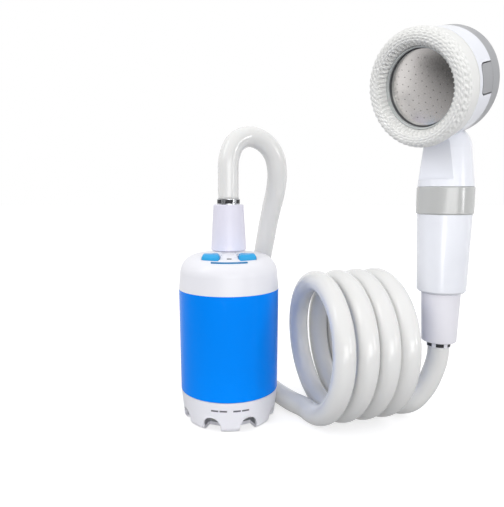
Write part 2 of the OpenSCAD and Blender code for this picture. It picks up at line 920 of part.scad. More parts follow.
module handle_shell() {
    color("#e9ebf4") in_handset() difference() {
        union() {
            edged(z_handle, handle_h, handle_r0, handle_r, 2 * edge, edge / 2);
            translate([0, 0, z_spigot]) cylinder(h = z_handle - z_spigot + 1, r = thread_r - thread_depth);
            for (i = [0 : 3])
                translate([0, 0, z_handle - 4 - 3 * i]) cylinder(h = 1.5, r = thread_r);
        }
        translate([0, 0, z_handle + handle_floor])
            cylinder(h = handle_h, r1 = handle_r0 - handle_wall, r2 = handle_r - handle_wall);
        translate([0, 0, z_spigot - 1]) cylinder(h = 60, r = tube_bore);
    }
}

module handle_tube() {
    color("#cdd0d6") in_handset()
        ring(z_handle + handle_floor, tube_top - z_handle - handle_floor, tube_r, tube_bore);
}

module handle_band() {
    color("#bfc0bf") in_handset() difference() {
        edged(z_band, band_h, band_r, band_r, band_edge, band_edge);
        translate([0, 0, z_band - 1]) cylinder(h = band_h + 2, r = band_r - band_wall);
    }
}

module tabs(side, front, out, floor_gap, under) {
    for (a = [0, 180])
        rotate([0, 0, a + tab_turn]) intersection() {
            union() {
                ring(cover_h - 1, tab_l + 1 + front, tab_r + out, tab_r - tab_t - floor_gap);
                if (under > floor_gap)
                    ring(cover_h - 1, tab_deep - cover_h + 1, tab_r + out, tab_r - tab_t - under);
            }
            translate([0, 0, cover_h + (tab_l + front - tab_root) / 2]) rotate([0, 90, 0])
                pad(tab_l + front + tab_root, tab_w + 2 * side, 2 * head_r, tab_round + side);
        }
}

module head_housing() {
    color("#f0f0f3") difference() {
        union() {
            in_handset() difference() {
                union() {
                    translate([0, 0, z_neck]) cylinder(h = neck_h, r1 = neck_r0, r2 = neck_r1);
                    translate([0, 0, z_neck + neck_h]) sphere(r = neck_r1);
                }
                translate([-2 * neck_r0, -neck_flat - 2 * neck_r0, z_neck + neck_step])
                    cube([4 * neck_r0, 2 * neck_r0, 2 * neck_h]);
            }
            in_head() translate([0, 0, cover_h])
                cylinder(h = house_end - cover_h, r1 = house_r0, r2 = house_r1);
        }
        in_head() {
            translate([0, 0, -0.01]) cylinder(h = cover_h + 0.01, r = cover_r + seat_gap);
            translate([0, 0, cover_h - 1]) cylinder(h = web_z - cover_h + 1, r = cavity_r);
            translate([0, 0, web_z]) cylinder(h = web_t + 1, r = web_hole);
            translate([0, 0, web_z + web_t]) cylinder(h = head_l, r = cavity_r);
            translate([0, 0, house_end - mouth_l]) cylinder(h = head_l, r = mouth_r);
            ring(web_z + web_t - seal_t, seal_t + 1, seal_r1, seal_r0);
            tabs(tab_side, tab_front, tab_out, tab_floor, tab_under);
            translate([0, 0, house_end]) cylinder(h = head_l, r = head_r + run_gap);
        }
        in_handset() {
            translate([0, 0, z_neck - 1]) cylinder(h = tube_top - z_neck + 1, r = tube_r + seat_gap);
            translate([0, 0, z_neck]) cylinder(h = z_head - z_neck - neck_crown, r = tube_bore);
        }
    }
}

module rear_cover() {
    color("#aeb0b3") in_head() {
        difference() {
            rotate_extrude() {
                polygon([
                    [0, 0],
                    [cover_r - cover_round, 0],
                    [cover_r - cover_round, cover_round],
                    [cover_r, cover_round],
                    [cover_r, cover_h],
                    [0, cover_h]
                ]);
                translate([cover_r - cover_round, cover_round]) intersection() {
                    circle(r = cover_round);
                    translate([0, -cover_round]) square(cover_round);
                }
            }
            translate([0, 0, cover_back]) cylinder(h = cover_h, r = cover_r - cover_rim);
        }
        tabs(0, 0, 0, 0, 0);
    }
}

module face_seal() {
    color("#2a2a2c") in_head() ring(web_z + web_t - seal_t, seal_t, seal_r1, seal_r0);
}

module spray_distributor() {
    color("#d8dade") in_head() difference() {
        union() {
            translate([0, 0, web_z + web_t]) cylinder(h = base_flange, r = cavity_r - seat_gap);
            translate([0, 0, web_z + web_t]) cylinder(h = face_z - web_z - web_t, r = trim_ring_r);
        }
        translate([0, 0, web_z]) cylinder(h = web_t + base_flange + 1, r = web_hole);
        translate([0, 0, web_z + web_t + base_flange]) cylinder(h = head_l, r = plate_r - 2.6);
    }
}

module face_plate() {
    color("#b9babd") in_head() translate([0, 0, face_z]) difference() {
        intersection() {
            linear_extrude(height = plate_thick + plate_dome) difference() {
                circle(r = plate_r);
                for (k = [1 : jet_rows])
                    for (i = [0 : 6 * k - 1])
                        rotate([0, 0, 60 / k * i + 7 * k]) translate([jet_step * k, 0])
                            circle(d = jet_d, $fn = 24);
            }
            translate([0, 0, plate_thick + plate_dome - dome_r]) sphere(r = dome_r, $fn = 200);
        }
        translate([0, 0, plate_dome - dome_r]) sphere(r = dome_r, $fn = 200);
    }
}

module face_trim() {
    color("#d3d4d6") in_head() ring(face_z, face_trim_h, trim_ring_r, trim_in_r);
}

module face_ring() {
    color("#ecece8") in_head() rotate_extrude() difference() {
        union() {
            polygon([
                [ring_bore, ring_end],
                [ring_r0, ring_end],
                [head_r, bead_z],
                [ring_bore, bead_z]
            ]);
            translate([bead_c, bead_z]) circle(r = bead_r);
            translate([mouth_r - run_gap - skirt_t, house_end - mouth_l + run_gap])
                square([skirt_t, mouth_l + 1]);
        }
        square([ring_bore, 2 * head_l]);
    }
}

body_shell();
top_cap();
top_seal();
outlet_fitting();
riser_pipe();
chassis_plate();
chassis_lid();
cell_left();
cell_right();
motor_can();
shaft_seal();
volute_housing();
volute_cover();
volute_screws();
control_board();
tact_switches();
button_trim();
indicator_lens();
charge_socket();
pump_washer();
pump_ferrule();
hose_riser();
hose_coil();
hose_tail();
handset_ferrule();
impeller();
motor_shaft();
strainer_base();
strainer_screen();
power_button();
mode_button();
charge_plug();
pump_nut();
handset_nut();
handset_washer();
handle_shell();
handle_tube();
handle_band();
head_housing();
rear_cover();
face_seal();
spray_distributor();
face_plate();
face_trim();
face_ring();
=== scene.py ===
"""Camp shower pump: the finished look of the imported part, laid out as an add-on and run as a script."""
import json
import math

import bmesh
import bpy
from bpy.props import FloatProperty, FloatVectorProperty, IntProperty, PointerProperty
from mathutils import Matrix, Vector


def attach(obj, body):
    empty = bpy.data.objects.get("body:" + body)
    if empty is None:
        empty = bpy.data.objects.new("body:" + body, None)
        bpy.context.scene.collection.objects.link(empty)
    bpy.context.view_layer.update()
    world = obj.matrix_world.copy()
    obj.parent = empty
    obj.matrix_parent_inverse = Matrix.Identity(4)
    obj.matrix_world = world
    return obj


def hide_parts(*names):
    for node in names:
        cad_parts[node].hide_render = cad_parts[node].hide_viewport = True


bl_info = {
    "name": "Camp shower pump",
    "version": (1, 0, 0),
    "blender": (4, 5, 0),
    "location": "3D View > Sidebar > Shower",
    # the ferrules' dark blocks are painted reflection
    "description": "Hose, grip ring, painted reflections in the ferrules, marks, finishes and studio of a camp shower pump",
    "category": "Object",
}

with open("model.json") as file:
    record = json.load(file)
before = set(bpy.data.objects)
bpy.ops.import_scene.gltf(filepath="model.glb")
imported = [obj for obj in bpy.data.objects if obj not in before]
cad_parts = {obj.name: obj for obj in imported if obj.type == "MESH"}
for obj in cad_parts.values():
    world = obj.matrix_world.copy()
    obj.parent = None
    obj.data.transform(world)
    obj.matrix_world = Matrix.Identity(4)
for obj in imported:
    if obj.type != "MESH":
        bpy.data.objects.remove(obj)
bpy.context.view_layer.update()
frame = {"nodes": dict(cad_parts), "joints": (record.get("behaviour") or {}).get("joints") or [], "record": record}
NODES = frame["nodes"]
MM = 0.001


# plain helpers

def linear(code):
    """Linear RGB of an sRGB hex colour."""
    parts = [int(code[i:i + 2], 16) / 255 for i in (1, 3, 5)]
    return [c / 12.92 if c <= 0.04045 else ((c + 0.055) / 1.055) ** 2.4 for c in parts]


def colour_prop(label, note, code):
    """A colour that a user may change, given as sRGB hex."""
    return FloatVectorProperty(
        name=label, description=note, subtype="COLOR", size=3, min=0, max=1, default=linear(code)
    )


def length_prop(label, note, millimetres):
    """A length that a user may change, given in millimetres."""
    return FloatProperty(name=label, description=note, unit="LENGTH", default=millimetres * MM)


def clamp(value):
    return max(0.0, min(1.0, value))


def around(steps):
    """Angles of equal steps round a circle."""
    return [2 * math.pi * k / steps for k in range(steps)]


def arc(middle, half, steps):
    """Angles of equal steps over an arc, given by its middle and half its width."""
    return [middle + half * (2 * k / steps - 1) for k in range(steps + 1)]


def upright(radius, angle, height):
    """Point on an upright cylinder."""
    return Vector((math.cos(angle) * radius, math.sin(angle) * radius, height))


def piece(name, mesh, body, finish):
    """A new piece of the object, riding on a body."""
    thing = bpy.data.objects.new(name, mesh)
    bpy.context.scene.collection.objects.link(thing)
    thing.data.materials.append(FINISH[finish])
    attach(thing, body)
    return thing


def finish_mesh(name, maker, smooth=True):
    """Mesh of a bmesh, with its normals outward."""
    bmesh.ops.recalc_face_normals(maker, faces=maker.faces)
    mesh = bpy.data.meshes.new(name)
    maker.to_mesh(mesh)
    maker.free()
    for face in mesh.polygons:
        face.use_smooth = smooth
    return mesh


def loft(maker, loops, closed=False):
    """Faces between loops of points, with both ends capped, or the last loop joined to the first.

    Returns the faces between the loops, one loop after the other.
    """
    rings = [[maker.verts.new(p) for p in loop] for loop in loops]
    after = rings[1:] + rings[:1] if closed else rings[1:]
    faces = []
    for low, high in zip(rings, after):
        for i in range(len(low)):
            k = (i + 1) % len(low)
            faces.append(maker.faces.new((low[i], low[k], high[k], high[i])))
    if not closed:
        maker.faces.new(rings[0][::-1])
        maker.faces.new(rings[-1])
    return faces


# places in the tilted head, measured from the joint of its turning ring

def joint(name):
    return next(j for j in frame["joints"] if j["name"] == name)


HEAD_POINT = Vector(joint("face_ring_turn")["pos_m"])
HEAD_AXIS = Vector(joint("face_ring_turn")["axis"]).normalized()
HEAD_SIDE = Vector((-HEAD_AXIS.y, HEAD_AXIS.x, 0)).normalized()
HEAD_UP = HEAD_AXIS.cross(HEAD_SIDE)
# points beyond this share of a plate's radius count as its rim
RIM_SHARE = 0.995


def in_head(along, radius, angle):
    """Point of the head from its distance along the axis, radius and angle."""
    out = HEAD_SIDE * math.cos(angle) + HEAD_UP * math.sin(angle)
    return HEAD_POINT + HEAD_AXIS * along + out * radius


def head_rows(node):
    """Distance along the head's axis, and from it, of each point of a node."""
    rows = []
    for vertex in NODES[node].data.vertices:
        spot = vertex.co - HEAD_POINT
        along = spot.dot(HEAD_AXIS)
        rows.append((along, (spot - HEAD_AXIS * along).length))
    return rows


def head_span(node):
    """Least and greatest distance of a node along the head's axis, and least and greatest radius."""
    along, radii = zip(*head_rows(node))
    return min(along), max(along), min(radii), max(radii)


def dome_middle(node):
    """Middle of the sphere that a domed plate of the head is pressed to."""
    rows = head_rows(node)
    apex = max(along for along, _ in rows)
    wide = max(radius for _, radius in rows)
    rise = apex - max(along for along, radius in rows if radius > RIM_SHARE * wide)
    return HEAD_POINT + HEAD_AXIS * (apex - (wide ** 2 + rise ** 2) / (2 * rise))


# sizes and colours that a user would change

class ShowerSizes(bpy.types.PropertyGroup):
    """Sizes of the dressed pieces."""

    hose_d: length_prop("Hose", "Outer diameter of the hose", 15)
    hose_sides: IntProperty(name="Hose sides", description="Points round the hose", default=40, min=12)
    coil_r: length_prop("Coil radius", "Radius of the coil to the middle of the hose", 47.5)
    coil_gap: length_prop("Coil gap", "Free gap between two loops that lie together", 0.3)
    coil_open: length_prop("Coil opening", "Extra gap after the first loop", 2.4)
    nub_count: IntProperty(name="Nubs", description="Nubs round the grip ring", default=54, min=24)
    nub_rows: IntProperty(name="Nub rows", description="Rows of nubs across the bead", default=11, min=1)
    pit_depth: length_prop("Pit depth", "Depth of the pits between the nubs", 1.0)
    mark_l: length_prop("Mark length", "Length of one printed mark on the base", 5.2)
    mark_w: length_prop("Mark width", "Width of one printed mark on the base", 1.2)


class ShowerColours(bpy.types.PropertyGroup):
    """Colours of the finishes."""

    barrel: colour_prop("Barrel", "Blue of the barrel", "#0088FC")
    white: colour_prop("White", "White of the cap and the base", "#ECECF2")
    handset: colour_prop("Handset", "White of the handle and the head", "#E8EAF1")
    lavender: colour_prop("Lavender", "Pale lavender of the pump's hose nut", "#E4E2F0")
    nut: colour_prop("Handset nut", "Pale grey of the handset's hose nut", "#E8E7EE")
    ivory: colour_prop("Ivory", "Ivory of the grip ring", "#EAEAE8")
    grey: colour_prop("Grey", "Grey of the handle's band", "#BBBCBB")
    cover: colour_prop("Cover", "Grey of the rear cover", "#A2A3A6")
    keys: colour_prop("Keys", "Light blue of the keys", "#30A9E6")
    arc: colour_prop("Arc", "Blue of the arc in front of the keys", "#2C86C0")
    hose: colour_prop("Hose", "White of the hose", "#E6E6E5")
    plate: colour_prop("Plate", "Steel of the spray plate", "#E2DEDC")
    mark: colour_prop("Marks", "Print of the marks on the base", "#5E5E66")


def sizes():
    return bpy.context.scene.shower_sizes


def colours():
    return bpy.context.scene.shower_colours


# finishes

# a noise texture has most of its values between these two
NOISE_SPAN = {"From Min": 0.3, "From Max": 0.7}
# a moulding shows slow clouds of the flow, patches of gloss and the grain of its mould, and the grain is
# drawn coarser than real, so that it shows
CLOUD_MM = 22
HAZE_MM = 6
GRAIN_MM = 0.5
GRAIN_DEPTH_MM = 0.004
GRAIN_STRENGTH = 0.6
BEVEL_SAMPLES = 4
# a hose shows long lines of its die, drawn coarser than real, and slow clouds, round and along it
DIE_MM = (0.6, 120)
DIE_DEPTH_MM = 0.012
VINYL_CLOUD_MM = (30, 40)
VINYL_TINT = (0.985, 1.012)
VINYL_ROUGH = (0.16, 0.2)
VINYL_GLOW_MM = 1.5
# metal varies in colour and gloss with the lines of its tool, drawn coarser than real, so that they show
METAL_TINT = (0.93, 1.05)
METAL_HAZE = 0.2
# strength of the bump that die lines and tool lines give
LINE_STRENGTH = 0.5
# refraction of common plastics, of polycarbonate and of silicone rubber
PLASTIC_IOR = 1.53
CARBONATE_IOR = 1.58
SILICONE_IOR = 1.41


def add(tree, kind, sockets=None, **fields):
    """A node with its fields set and its sockets set or linked."""
    node = tree.nodes.new("ShaderNode" + kind)
    for name, value in fields.items():
        setattr(node, name, value)
    for name, value in (sockets or {}).items():
        if isinstance(value, bpy.types.NodeSocket):
            tree.links.new(value, node.inputs[name])
        else:
            node.inputs[name].default_value = value
    return node


def fresh(name):
    """An empty node material."""
    material = bpy.data.materials.new(name)
    material.use_nodes = True
    material.node_tree.nodes.clear()
    return material, material.node_tree


def rgba(colour, by=1.0):
    """Colour for a socket, made darker or paler by a factor."""
    return [min(1.0, c * by) for c in colour][:3] + [1.0]


def moulded(name, colour, rough, edge_mm=0.35, spread=0.04, haze_by=0.15, ior=PLASTIC_IOR, level=0.5):
    """Moulded plastic or rubber: faint flow clouds, an uneven gloss, a fine mould grain, softened edges.

    spread and haze_by are the shares by which colour and roughness vary, level the strength of the mirror.
    """
    material, tree = fresh(name)
    spot = add(tree, "TexCoord").outputs["Object"]
    clouds = add(tree, "TexNoise", {"Vector": spot, "Scale": 1 / (CLOUD_MM * MM), "Detail": 3.0})
    tint = add(
        tree, "Mix",
        {0: clouds.outputs["Fac"], 6: rgba(colour, 1 - spread), 7: rgba(colour, 1 + spread)},
        data_type="RGBA",
    )
    haze = add(tree, "TexNoise", {"Vector": spot, "Scale": 1 / (HAZE_MM * MM), "Detail": 2.0})
    gloss = add(
        tree, "MapRange",
        {"Value": haze.outputs["Fac"], **NOISE_SPAN,
         "To Min": rough * (1 - haze_by), "To Max": rough * (1 + haze_by)},
    )
    grain = add(tree, "TexNoise", {"Vector": spot, "Scale": 1 / (GRAIN_MM * MM), "Detail": 2.0})
    soft = add(tree, "Bevel", {"Radius": edge_mm * MM}, samples=BEVEL_SAMPLES)
    bump = add(
        tree, "Bump",
        {"Height": grain.outputs["Fac"], "Distance": GRAIN_DEPTH_MM * MM, "Strength": GRAIN_STRENGTH,
         "Normal": soft.outputs["Normal"]},
    )
    shaded = add(
        tree, "BsdfPrincipled",
        {"Base Color": tint.outputs[2], "Roughness": gloss.outputs["Result"], "IOR": ior,
         "Specular IOR Level": level, "Normal": bump.outputs["Normal"]},
    )
    add(tree, "OutputMaterial", {"Surface": shaded.outputs["BSDF"]})
    return material


def extruded_vinyl(name, colour):
    """Extruded soft PVC: die lines along the hose, a thin gloss on top, a little light under the skin."""
    material, tree = fresh(name)
    wrap = add(tree, "UVMap", uv_map="hose").outputs["UV"]
    lines = add(tree, "Mapping", {"Vector": wrap, "Scale": [1 / (d * MM) for d in DIE_MM] + [1.0]})
    die = add(tree, "TexNoise", {"Vector": lines.outputs["Vector"], "Scale": 1.0, "Detail": 2.0})
    slow = add(
        tree, "Mapping", {"Vector": wrap, "Scale": [1 / (d * MM) for d in VINYL_CLOUD_MM] + [1.0]}
    )
    clouds = add(tree, "TexNoise", {"Vector": slow.outputs["Vector"], "Scale": 1.0, "Detail": 2.0})
    dark, pale = VINYL_TINT
    tint = add(
        tree, "Mix", {0: clouds.outputs["Fac"], 6: rgba(colour, dark), 7: rgba(colour, pale)},
        data_type="RGBA",
    )
    smooth, rough = VINYL_ROUGH
    gloss = add(
        tree, "MapRange",
        {"Value": clouds.outputs["Fac"], **NOISE_SPAN, "To Min": smooth, "To Max": rough},
    )
    bump = add(
        tree, "Bump",
        {"Height": die.outputs["Fac"], "Distance": DIE_DEPTH_MM * MM, "Strength": LINE_STRENGTH},
    )
    shaded = add(
        tree, "BsdfPrincipled",
        {"Base Color": tint.outputs[2], "Roughness": gloss.outputs["Result"], "IOR": PLASTIC_IOR,
         "Subsurface Weight": 0.12, "Subsurface Radius": (1.0, 0.9, 0.8),
         "Subsurface Scale": VINYL_GLOW_MM * MM, "Coat Weight": 0.3, "Coat Roughness": 0.04,
         "Normal": bump.outputs["Normal"]},
    )
    add(tree, "OutputMaterial", {"Surface": shaded.outputs["BSDF"]})
    return material


def metal(name, colour, rough, line_mm, depth_mm, stretch=(1.0, 1.0, 1.0), dome=None):
    """Bare or plated metal with fine tool lines; stretch draws the lines out along an axis.

    dome is the middle of the sphere that a pressed plate belongs to, and keeps its shine even.
    """
    material, tree = fresh(name)
    spot = add(tree, "TexCoord").outputs["Object"]
    drawn = add(tree, "Mapping", {"Vector": spot, "Scale": [s / (line_mm * MM) for s in stretch]})
    lines = add(tree, "TexNoise", {"Vector": drawn.outputs["Vector"], "Scale": 1.0, "Detail": 3.0})
    dark, pale = METAL_TINT
    tint = add(
        tree, "Mix", {0: lines.outputs["Fac"], 6: rgba(colour, dark), 7: rgba(colour, pale)},
        data_type="RGBA",
    )
    gloss = add(
        tree, "MapRange",
        {"Value": lines.outputs["Fac"], **NOISE_SPAN,
         "To Min": rough * (1 - METAL_HAZE), "To Max": rough * (1 + METAL_HAZE)},
    )
    relief = {"Height": lines.outputs["Fac"], "Distance": depth_mm * MM, "Strength": LINE_STRENGTH}
    if dome:
        out = add(tree, "VectorMath", {0: spot, 1: dome}, operation="SUBTRACT")
        facing = add(
            tree, "VectorTransform", {0: out.outputs[0]},
            vector_type="NORMAL", convert_from="OBJECT", convert_to="WORLD",
        )
        relief["Normal"] = facing.outputs[0]
    bump = add(tree, "Bump", relief)
    shaded = add(
        tree, "BsdfPrincipled",
        {"Base Color": tint.outputs[2], "Metallic": 1.0, "Roughness": gloss.outputs["Result"],
         "Normal": bump.outputs["Normal"]},
    )
    add(tree, "OutputMaterial", {"Surface": shaded.outputs["BSDF"]})
    return material


FINISH = {}
# CAD nodes whose finish isn't that of their slot
OWN_FINISH = {
    "button_trim": "arc_blue",
    "handle_shell": "handset_white",
    "head_housing": "handset_white",
    "handset_nut": "nut_white",
    "handset_ferrule": "white_plastic",
    "face_trim": "trim",
    # painted shade: the distributor is dark grey for the shade behind the spray plate
    "spray_distributor": "shade",
}


def make_finishes():
    """One finish for each material slot of the record, and some for single pieces."""
    c = colours()
    # polished and kept nearly free of mirror: a deep, even blue
    FINISH["blue_plastic"] = moulded("ABS blue polished", c.barrel, 0.22, level=0.08)
    # satin and very even: a clean white with broad, soft lights
    FINISH["white_plastic"] = moulded("ABS white satin", c.white, 0.3, spread=0.015, haze_by=0.04)
    # polished: a cool white with upright stripes of light
    FINISH["handset_white"] = moulded("ABS cool white polished", c.handset, 0.22)
    # satin: a pale lavender whose lights blur away
    FINISH["lavender_plastic"] = moulded("ABS lavender satin", c.lavender, 0.36)
    # satin: a pale grey, duller than the handle above it
    FINISH["nut_white"] = moulded("ABS pale satin", c.nut, 0.34)
    # soft to the touch: a dull ivory that lets the knurl's shade show
    FINISH["ivory_plastic"] = moulded("TPE ivory satin", c.ivory, 0.45, edge_mm=0.1)
    # polished and even: a light grey with clear stripes of light
    FINISH["grey_plastic"] = moulded("ABS grey polished", c.grey, 0.2, haze_by=0.04, level=0.8)
    # satin: a flat mid grey
    FINISH["cover_plastic"] = moulded("ABS mid grey satin", c.cover, 0.36)
    # polished, thin: a pale line that catches the light
    FINISH["trim"] = moulded("ABS light grey polished", linear("#C4C8C8"), 0.2, level=0.9)
    # painted shade: a dark grey polished sheet that stands in for the shade in the recess round the spray plate,
    # with a sharp light on it
    FINISH["lip"] = moulded("ABS dark grey painted shade sheet", linear("#606164"), 0.15)
    # painted shade: a dull dark grey on the distributor that stands in for the shade seen through the holes of the
    # spray plate and the gaps round it
    FINISH["shade"] = moulded("ABS dark grey painted shade behind plate", linear("#5A5A5C"), 0.4)
    # satin: a blue line, deeper than the keys
    FINISH["arc_blue"] = moulded("ABS mid blue satin", c.arc, 0.35)
    # moulded and dull: black that swallows the light
    FINISH["dark_plastic"] = moulded("Nylon black moulded", linear("#2A2A2E"), 0.5)
    # smoke-dyed resin: a dark, glassy spot
    FINISH["smoke_plastic"] = moulded(
        "Polycarbonate smoked polished", linear("#2E323A"), 0.12, ior=CARBONATE_IOR
    )
    # moulded rubber: a light blue with a soft sheen and almost no mirror
    FINISH["key_rubber"] = moulded("Silicone blue moulded", c.keys, 0.42, ior=SILICONE_IOR)
    # moulded rubber: a deep, dull black
    FINISH["black_rubber"] = moulded("EPDM black moulded", linear("#1E1E20"), 0.6)
    # extruded and glossy: milky white with small, sharp lights along it
    FINISH["hose_vinyl"] = extruded_vinyl("PVC white extruded", c.hose)
    # plated: a bright ring with soft bands of dark and light
    FINISH["chrome"] = metal(
        "Brass chrome plated", linear("#D9DBDE"), 0.3, line_mm=0.8, depth_mm=0.002
    )
    # turned: a grey shine with fine rings
    FINISH["steel"] = metal(
        "Steel turned", linear("#B9BBBF"), 0.3, line_mm=0.25, depth_mm=0.004, stretch=(0.1, 0.1, 1.0)
    )
    # brushed and domed: a warm grey that runs from light to dark
    FINISH["plate_steel"] = metal(
        "Steel plate brushed", c.plate, 0.2, line_mm=0.3, depth_mm=0.003, stretch=(1.0, 1.0, 0.08),
        dome=dome_middle("face_plate"),
    )
    # glass fibre under solder resist: an even green
    FINISH["board"] = moulded("FR4 green coated", linear("#1F6B45"), 0.3)
    # shrunk film: gold with a tight gloss
    FINISH["cell_wrap"] = moulded("PVC film gold shrunk", linear("#D0A040"), 0.25)
    # printed ink: a dull dark grey
    FINISH["print"] = moulded("Ink grey pad printed", c.mark, 0.5, edge_mm=0.02)


def dress(names):
    """Give CAD nodes their own finish, or that of their slot."""
    slots = {row["node"]: row["material_slot"] for row in frame["record"]["subparts"]}
    for name in names:
        worn = NODES[name].data.materials
        worn.clear()
        worn.append(FINISH[OWN_FINISH.get(name, slots[name])])


# hose

HOSE_START = Vector((0, 0, 161.5)) * MM
HOSE_END = Vector((152.5, -10, 56)) * MM
UP = Vector((0, 0, 1))
COIL_FOOT = Vector((58, -11)) * MM
COIL_TURN = math.radians(17.3)
# loops of the coil, and the loops over which it opens
COIL_LAST = 3.75
OPEN_FROM = 0.4
OPEN_SPAN = 1.3
# a small part of a loop, to take the coil's heading over
HEADING_STEP = 1e-4
COIL_STEPS = 384
ROUTE_STEPS = 8


def coil_at(u):
    """Middle of the hose after u loops of the coil."""
    s = sizes()
    turn = 2 * math.pi * u
    t = clamp((u - OPEN_FROM) / OPEN_SPAN)
    gone = (s.hose_d + s.coil_gap) * u + s.coil_open * t * t * (3 - 2 * t)
    drift = Vector((math.cos(COIL_TURN), math.sin(COIL_TURN), 0)) * gone
    side = math.sin(turn)
    out = Vector((math.sin(COIL_TURN) * side, -math.cos(COIL_TURN) * side, -math.cos(turn))) * s.coil_r
    return Vector((COIL_FOOT.x, COIL_FOOT.y, s.coil_r + s.hose_d / 2)) + drift + out


def coil_heading(u):
    """Way that the hose runs after u loops of the coil."""
    return (coil_at(u + HEADING_STEP) - coil_at(u - HEADING_STEP)).normalized()


def riser_points():
    """Route from the pump's ferrule, over the arch, down behind the pump and on the floor to the coil."""
    top = HOSE_START.z / MM
    low = sizes().hose_d / 2 / MM
    spots = [
        (0, 0, top), (0, 0, top + 15), (0.6, 0.3, top + 29), (5, 3, top + 40), (14, 8, top + 45),
        (25, 12.5, top + 42), (33, 16, top + 33), (36, 19.5, top + 20), (35.2, 24.5, top + 7),
        (32.7, 31, top - 6), (30.2, 38, top - 19), (28, 44, top - 33), (25.6, 50, top - 48),
        (22.2, 58, top - 68), (19, 66.5, top - 90), (16.5, 73.5, top - 112), (17, 76, top - 129),
        (19, 71.5, low + 10.5), (23.5, 58, low + 1.8), (29.5, 40, low), (37.5, 21, low), (47, 4.5, low),
    ]
    return [Vector(p) * MM for p in spots] + [coil_at(0)]


def tail_points():
    """Route from the last loop down to the floor and up into the handset's ferrule."""
    x, y, top = HOSE_END / MM
    low = sizes().hose_d / 2 / MM
    last = coil_at(COIL_LAST)
    spots = [
        (x - 38.5, 26, low + 3), (x - 32, 11, low), (x - 25.5, -1.5, low + 0.6),
        (x - 18, -7.5, low + 4.8), (x - 9.2, -9.5, low + 15.5), (x - 3.2, y, low + 29),
        (x - 0.4, y, low + 40), (x, y, top),
    ]
    lead = [last, last + Vector((2.2, -2.4, -19)) * MM, last + Vector((7.2, -11.5, -36)) * MM]
    return lead + [Vector(p) * MM for p in spots]


def course(points, first, last):
    """Smooth curve through points, starting and ending in the given directions."""
    def slope(i):
        a, b = points[i] - points[i - 1], points[i + 1] - points[i]
        m, n = a.length, b.length
        return (a / m * n + b / n * m) / (m + n)

    out = []
    for i in range(len(points) - 1):
        span = (points[i + 1] - points[i]).length
        m0 = (first if i == 0 else slope(i)) * span
        m1 = (last if i == len(points) - 2 else slope(i + 1)) * span
        for j in range(ROUTE_STEPS):
            t = j / ROUTE_STEPS
            square, cube = t * t, t * t * t
            out.append(
                points[i] * (2 * cube - 3 * square + 1) + m0 * (cube - 2 * square + t)
                + points[i + 1] * (3 * square - 2 * cube) + m1 * (cube - square)
            )
    return out + [points[-1]]


def hose_path():
    """Middle line of the whole hose."""
    rise = course(riser_points(), UP, coil_heading(0))
    loops = [coil_at(COIL_LAST * i / COIL_STEPS) for i in range(COIL_STEPS + 1)]
    tail = course(tail_points(), coil_heading(COIL_LAST), UP)
    return rise + loops[1:] + tail[1:]


def tube(path, radius, sides):
    """Loops of points round a path, each turned as little as can be from the one before."""
    loops = []
    side = Vector((1, 0, 0))
    for i, p in enumerate(path):
        ahead = (path[min(i + 1, len(path) - 1)] - path[max(i - 1, 0)]).normalized()
        side = (side - ahead * side.dot(ahead)).normalized()
        cross = ahead.cross(side)
        loops.append([p + (side * math.cos(a) + cross * math.sin(a)) * radius for a in around(sides)])
    return loops


class SHOWER_OT_hose(bpy.types.Operator):
    """Make the hose from the pump's ferrule to the handset's ferrule"""

    bl_idname = "shower.hose"
    bl_label = "Hose"

    def execute(self, context):
        s = sizes()
        path = hose_path()
        run = [0.0]
        for a, b in zip(path, path[1:]):
            run.append(run[-1] + (b - a).length)
        maker = bmesh.new()
        wrap = maker.loops.layers.uv.new("hose")
        faces = loft(maker, tube(path, s.hose_d / 2, s.hose_sides))
        girth = math.pi * s.hose_d
        for index, face in enumerate(faces):
            i, k = divmod(index, s.hose_sides)
            corners = [(k, i), (k + 1, i), (k + 1, i + 1), (k, i + 1)]
            for loop, (u, v) in zip(face.loops, corners):
                loop[wrap].uv = (girth * u / s.hose_sides, run[v])
        hose = piece("hose", finish_mesh("hose", maker), "pump", "hose_vinyl")
        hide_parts("hose_riser", "hose_coil", "hose_tail")
        return {"FINISHED"}


# ferrules

FERRULES = ["pump_ferrule", "handset_ferrule"]
FERRULE_R = 8.2 * MM
FERRULE_H = 3.6 * MM
FERRULE_RIM = 0.4 * MM
WINDOW_COUNT = 6
WINDOW_HALF = math.radians(19)
WINDOW_STEPS = 12
# where the first window stands on each ferrule
PUMP_TURN = math.radians(35)
HANDSET_TURN = math.radians(16.5)
# dark blocks in the windows, painted reflection that stands in for the dark bands a shiny ring reflects, stop
# short of the windows' ends, and lie between two depths under the ferrule's face
PAINTED_BAND_END = 1.1 * FERRULE_RIM
PAINTED_BAND_BACK = 0.75 * MM
PAINTED_BAND_FRONT = 0.15 * MM


